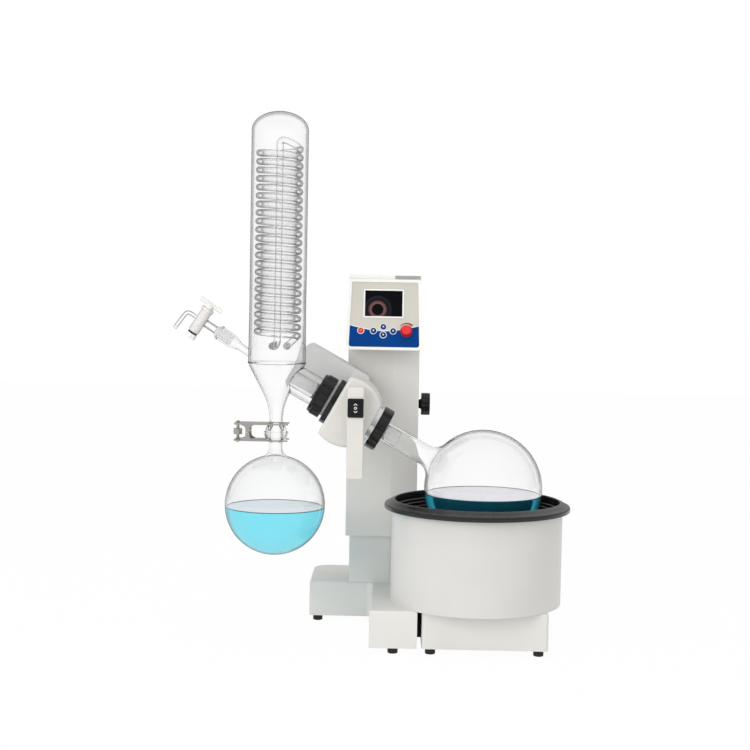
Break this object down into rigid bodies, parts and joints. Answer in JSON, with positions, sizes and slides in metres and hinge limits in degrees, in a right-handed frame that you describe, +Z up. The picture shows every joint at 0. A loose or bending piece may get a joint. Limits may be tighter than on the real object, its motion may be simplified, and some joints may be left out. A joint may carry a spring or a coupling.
{
  "type": "rotary evaporator",
  "caption": "Bench rotary evaporator: lift column with control console, tilted rotor head, round flask in a heating bath, upright coil condenser and receiving flask.",
  "frame": {"origin": "on the bench, under the middle of the whole apparatus", "axes": "+Z up, -Y towards the operator who faces the console, +X towards the bath"},
  "size_m": [0.638, 0.4355, 0.841],
  "materials": {
    "warm_white_paint": "satin",
    "white_plastic": "satin",
    "panel_print": "satin",
    "grey_casing": "satin",
    "plate_steel": "matt",
    "black_plastic": "satin",
    "screen_black": "gloss",
    "red_plastic": "gloss",
    "blue_plastic": "gloss",
    "board_green": "matt",
    "foot_rubber": "matt",
    "guide_plastic": "satin",
    "bath_coating": "satin",
    "steel": "brushed",
    "alloy": "machined",
    "motor_black": "satin",
    "nut_brass": "machined",
    "clear_glass": "gloss",
    "teal_liquid": "gloss",
    "cyan_liquid": "gloss"
  },
  "bodies": {
    "stand": {"base_frame": "warm_white_paint", "base_bottom": "plate_steel", "base_feet": "foot_rubber", "lower_column": "warm_white_paint", "upper_guide": "guide_plastic", "lift_motor": "motor_black", "mains_inlet": "black_plastic", "bath_pedestal": "warm_white_paint", "bath_feet": "foot_rubber", "docking_pad": "foot_rubber", "bath_shell": "warm_white_paint", "bath_pot": "bath_coating", "bath_rim": "black_plastic", "bath_heater": "steel", "bath_sensor": "steel"},
    "screw": {"lead_screw": "steel"},
    "carriage": {"column_sleeve": "warm_white_paint", "lower_guide": "guide_plastic", "lift_nut": "nut_brass", "push_tube": "steel", "head_bracket": "warm_white_paint", "console_housing": "white_plastic", "console_panel": "panel_print", "display_screen": "screen_black", "control_board": "board_green"},
    "red_button": {"red_button": "red_plastic"},
    "key_left": {"key_left": "blue_plastic"},
    "key_right": {"key_right": "blue_plastic"},
    "key_up": {"key_up": "blue_plastic"},
    "key_down": {"key_down": "blue_plastic"},
    "speed_knob": {"speed_knob": "red_plastic"},
    "lock_knob": {"lock_knob": "black_plastic"},
    "head": {"head_drum": "warm_white_paint", "head_back_plate": "warm_white_paint", "motor_casing": "grey_casing", "drive_motor": "motor_black", "drive_belt": "foot_rubber", "rotor_bearings": "steel", "vacuum_seal": "guide_plastic", "flange_ring": "black_plastic", "condenser_nut": "black_plastic", "handle_grip": "white_plastic", "switch_frame": "black_plastic", "condenser_jacket": "clear_glass", "cooling_coil": "clear_glass", "inlet_valve": "clear_glass", "receiving_flask": "clear_glass", "collected_liquid": "cyan_liquid", "clamp_upper_jaw": "steel", "clamp_lower_jaw": "steel", "evaporating_liquid": "teal_liquid"},
    "rotor": {"rotor_sleeve": "steel", "flask_nut": "black_plastic", "evaporating_flask": "clear_glass", "vapour_tube": "clear_glass"},
    "motor_pulley": {"motor_pulley": "alloy"},
    "stopcock": {"stopcock_plug": "guide_plastic", "stopcock_nut": "guide_plastic"},
    "clamp_screw": {"clamp_screw": "steel"},
    "lift_rocker": {"lift_rocker": "black_plastic"}
  },
  "joints": [
    {"name": "lift", "type": "slide", "parent": "stand", "child": "carriage", "axis": [0, 0, 1], "range_m": [0, 0.15]},
    {"name": "screw_turn", "type": "hinge", "parent": "stand", "child": "screw", "pos_m": [0.01515, 0.11975, 0.3], "axis": [0, 0, 1], "continuous": true},
    {"name": "head_tilt", "type": "hinge", "parent": "carriage", "child": "head", "pos_m": [-0.006, 0.02, 0.37], "axis": [0, 1, 0], "range_deg": [-10, 10]},
    {"name": "rotor_spin", "type": "hinge", "parent": "head", "child": "rotor", "pos_m": [-0.04, -0.0685, 0.37], "axis": [0.8738, 0, -0.4863], "continuous": true},
    {"name": "motor_spin", "type": "hinge", "parent": "head", "child": "motor_pulley", "pos_m": [-0.03027, 0.01825, 0.38748], "axis": [0.8738, 0, -0.4863], "continuous": true},
    {"name": "stopcock_turn", "type": "hinge", "parent": "head", "child": "stopcock", "pos_m": [-0.27619, -0.0685, 0.50911], "axis": [0.5446, 0, 0.8387], "continuous": true},
    {"name": "clamp_turn", "type": "hinge", "parent": "head", "child": "clamp_screw", "pos_m": [-0.21503, -0.0685, 0.333], "axis": [0, 0, 1], "continuous": true},
    {"name": "rocker_tip", "type": "hinge", "parent": "head", "child": "lift_rocker", "pos_m": [-0.0255, -0.14, 0.379], "axis": [1, 0, 0], "range_deg": [-8, 8], "stiffness_Nm_per_rad": 0.3},
    {"name": "speed_turn", "type": "hinge", "parent": "carriage", "child": "speed_knob", "pos_m": [0.05155, 0.01391, 0.49539], "axis": [0, -0.9659, 0.2588], "range_deg": [0, 270]},
    {"name": "lock_turn", "type": "hinge", "parent": "carriage", "child": "lock_knob", "pos_m": [0.085, 0.11975, 0.368], "axis": [1, 0, 0], "range_deg": [0, 270]},
    {"name": "red_button_push", "type": "slide", "parent": "carriage", "child": "red_button", "axis": [0, 0.9659, -0.2588], "range_m": [0, 0.001], "stiffness_N_per_m": 800},
    {"name": "key_left_push", "type": "slide", "parent": "carriage", "child": "key_left", "axis": [0, 0.9659, -0.2588], "range_m": [0, 0.001], "stiffness_N_per_m": 800},
    {"name": "key_right_push", "type": "slide", "parent": "carriage", "child": "key_right", "axis": [0, 0.9659, -0.2588], "range_m": [0, 0.001], "stiffness_N_per_m": 800},
    {"name": "key_up_push", "type": "slide", "parent": "carriage", "child": "key_up", "axis": [0, 0.9659, -0.2588], "range_m": [0, 0.001], "stiffness_N_per_m": 800},
    {"name": "key_down_push", "type": "slide", "parent": "carriage", "child": "key_down", "axis": [0, 0.9659, -0.2588], "range_m": [0, 0.001], "stiffness_N_per_m": 800}
  ],
  "couplings": [
    {"joint": "screw_turn", "follows": "lift", "rad_per_m": 628.32},
    {"joint": "motor_spin", "follows": "rotor_spin", "ratio": 2.6667}
  ]
}
